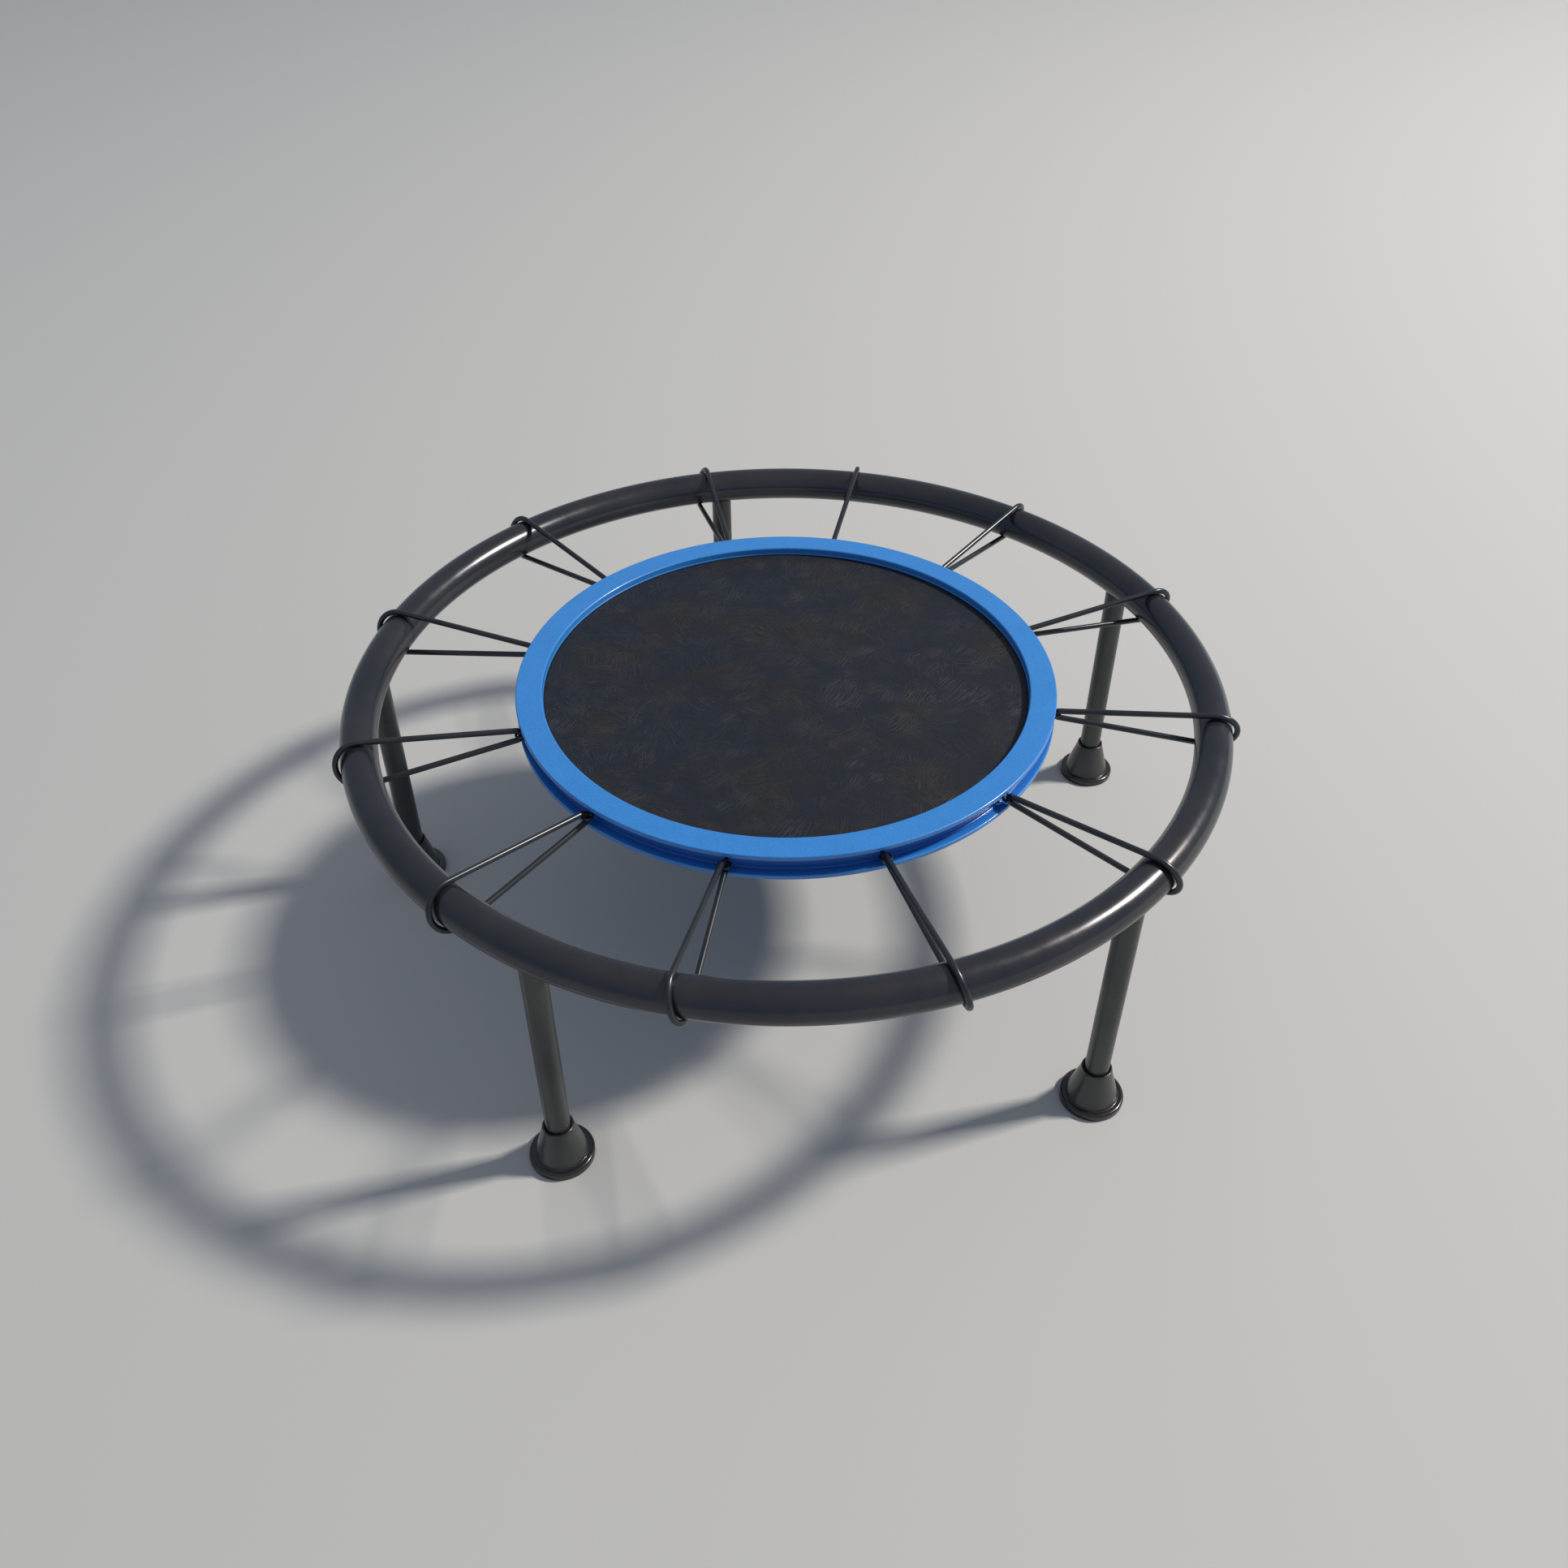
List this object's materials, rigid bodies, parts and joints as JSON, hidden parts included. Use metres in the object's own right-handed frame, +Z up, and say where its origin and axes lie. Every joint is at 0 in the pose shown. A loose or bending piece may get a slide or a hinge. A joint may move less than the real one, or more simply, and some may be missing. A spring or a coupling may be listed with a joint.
{
  "type": "mini trampoline",
  "caption": "Round mini trampoline: a tube ring on rubber-footed legs, with a stiff mat in a grooved hoop hung inside it from closed wire hangers.",
  "frame": {"origin": "on the floor, below the centre of the ring", "axes": "+Z up along the ring's axis; +Y from the pictured front to the back; +X to the right as pictured"},
  "size_m": [1.0336, 1.0247, 0.3481],
  "materials": {
    "ring_enamel": "gloss",
    "plain_steel": "satin",
    "foot_rubber": "satin",
    "hoop_blue": "satin",
    "mat_sheet": "coated, satin",
    "mat_cord": "matte",
    "hanger_wire": "gloss",
    "screw_zinc": "satin"
  },
  "bodies": {
    "frame": {"frame_ring": "ring_enamel", "ring_joint_sleeve": "plain_steel", "leg_spigot_1": "plain_steel", "leg_spigot_2": "plain_steel", "leg_spigot_3": "plain_steel", "leg_spigot_4": "plain_steel", "leg_spigot_5": "plain_steel"},
    "hoop": {"hoop_upper": "hoop_blue", "hoop_lower": "hoop_blue", "mat": "mat_sheet", "mat_welt": "mat_cord", "hanger_eyes": "hanger_wire", "hoop_screws": "screw_zinc"},
    "leg_1": {"leg_1": "ring_enamel", "foot_1": "foot_rubber", "foot_washer_1": "plain_steel"},
    "leg_2": {"leg_2": "ring_enamel", "foot_2": "foot_rubber", "foot_washer_2": "plain_steel"},
    "leg_3": {"leg_3": "ring_enamel", "foot_3": "foot_rubber", "foot_washer_3": "plain_steel"},
    "leg_4": {"leg_4": "ring_enamel", "foot_4": "foot_rubber", "foot_washer_4": "plain_steel"},
    "leg_5": {"leg_5": "ring_enamel", "foot_5": "foot_rubber", "foot_washer_5": "plain_steel"},
    "hanger_01": {"hanger_01": "hanger_wire"},
    "hanger_02": {"hanger_02": "hanger_wire"},
    "hanger_03": {"hanger_03": "hanger_wire"},
    "hanger_04": {"hanger_04": "hanger_wire"},
    "hanger_05": {"hanger_05": "hanger_wire"},
    "hanger_06": {"hanger_06": "hanger_wire"},
    "hanger_07": {"hanger_07": "hanger_wire"},
    "hanger_08": {"hanger_08": "hanger_wire"},
    "hanger_09": {"hanger_09": "hanger_wire"},
    "hanger_10": {"hanger_10": "hanger_wire"},
    "hanger_11": {"hanger_11": "hanger_wire"},
    "hanger_12": {"hanger_12": "hanger_wire"}
  },
  "joints": [
    {"name": "hoop_bounce", "type": "slide", "parent": "frame", "child": "hoop", "axis": [0, 0, 1], "range_m": [-0.02, 0], "stiffness_N_per_m": 30000, "springref_m": 0.002},
    {"name": "hanger_01_swing", "type": "hinge", "parent": "hoop", "child": "hanger_01", "pos_m": [0.19981, 0.24674, 0.32], "axis": [-0.7771, 0.6293, 0], "range_deg": [-7, 0]},
    {"name": "hanger_02_swing", "type": "hinge", "parent": "hoop", "child": "hanger_02", "pos_m": [0.29739, 0.11119, 0.32], "axis": [-0.3502, 0.9367, 0], "range_deg": [-7, 0]},
    {"name": "hanger_03_swing", "type": "hinge", "parent": "hoop", "child": "hanger_03", "pos_m": [0.31268, -0.05513, 0.32], "axis": [0.1736, 0.9848, 0], "range_deg": [-7, 0]},
    {"name": "hanger_04_swing", "type": "hinge", "parent": "hoop", "child": "hanger_04", "pos_m": [0.24143, -0.2062, 0.32], "axis": [0.6494, 0.7604, 0], "range_deg": [-7, 0]},
    {"name": "hanger_05_swing", "type": "hinge", "parent": "hoop", "child": "hanger_05", "pos_m": [0.10337, -0.3002, 0.32], "axis": [0.9455, 0.3256, 0], "range_deg": [-7, 0]},
    {"name": "hanger_06_swing", "type": "hinge", "parent": "hoop", "child": "hanger_06", "pos_m": [-0.0633, -0.31113, 0.32], "axis": [0.9799, -0.1994, 0], "range_deg": [-7, 0]},
    {"name": "hanger_07_swing", "type": "hinge", "parent": "hoop", "child": "hanger_07", "pos_m": [-0.21245, -0.23595, 0.32], "axis": [0.7431, -0.6691, 0], "range_deg": [-7, 0]},
    {"name": "hanger_08_swing", "type": "hinge", "parent": "hoop", "child": "hanger_08", "pos_m": [-0.3028, -0.09547, 0.32], "axis": [0.3007, -0.9537, 0], "range_deg": [-7, 0]},
    {"name": "hanger_09_swing", "type": "hinge", "parent": "hoop", "child": "hanger_09", "pos_m": [-0.30936, 0.07142, 0.32], "axis": [-0.225, -0.9744, 0], "range_deg": [-7, 0]},
    {"name": "hanger_10_swing", "type": "hinge", "parent": "hoop", "child": "hanger_10", "pos_m": [-0.23031, 0.21855, 0.32], "axis": [-0.6884, -0.7254, 0], "range_deg": [-7, 0]},
    {"name": "hanger_11_swing", "type": "hinge", "parent": "hoop", "child": "hanger_11", "pos_m": [0.06058, 0.31167, 0.32], "axis": [-0.9816, 0.1908, 0], "range_deg": [-7, 0]},
    {"name": "hanger_12_swing", "type": "hinge", "parent": "hoop", "child": "hanger_12", "pos_m": [-0.07681, 0.30807, 0.32], "axis": [-0.9703, -0.2419, 0], "range_deg": [-7, 0]},
    {"name": "leg_1_pull", "type": "slide", "parent": "frame", "child": "leg_1", "axis": [0, 0, -1], "range_m": [0, 0.05]},
    {"name": "leg_2_pull", "type": "slide", "parent": "frame", "child": "leg_2", "axis": [0, 0, -1], "range_m": [0, 0.05]},
    {"name": "leg_3_pull", "type": "slide", "parent": "frame", "child": "leg_3", "axis": [0, 0, -1], "range_m": [0, 0.05]},
    {"name": "leg_4_pull", "type": "slide", "parent": "frame", "child": "leg_4", "axis": [0, 0, -1], "range_m": [0, 0.05]},
    {"name": "leg_5_pull", "type": "slide", "parent": "frame", "child": "leg_5", "axis": [0, 0, -1], "range_m": [0, 0.05]}
  ],
  "couplings": [
    {"joint": "hanger_01_swing", "follows": "hoop_bounce", "rad_per_m": 5.8119},
    {"joint": "hanger_02_swing", "follows": "hoop_bounce", "rad_per_m": 5.8119},
    {"joint": "hanger_03_swing", "follows": "hoop_bounce", "rad_per_m": 5.8119},
    {"joint": "hanger_04_swing", "follows": "hoop_bounce", "rad_per_m": 5.8119},
    {"joint": "hanger_05_swing", "follows": "hoop_bounce", "rad_per_m": 5.8119},
    {"joint": "hanger_06_swing", "follows": "hoop_bounce", "rad_per_m": 5.8119},
    {"joint": "hanger_07_swing", "follows": "hoop_bounce", "rad_per_m": 5.8119},
    {"joint": "hanger_08_swing", "follows": "hoop_bounce", "rad_per_m": 5.8119},
    {"joint": "hanger_09_swing", "follows": "hoop_bounce", "rad_per_m": 5.8119},
    {"joint": "hanger_10_swing", "follows": "hoop_bounce", "rad_per_m": 5.8119},
    {"joint": "hanger_11_swing", "follows": "hoop_bounce", "rad_per_m": 5.8119},
    {"joint": "hanger_12_swing", "follows": "hoop_bounce", "rad_per_m": 5.8119}
  ]
}
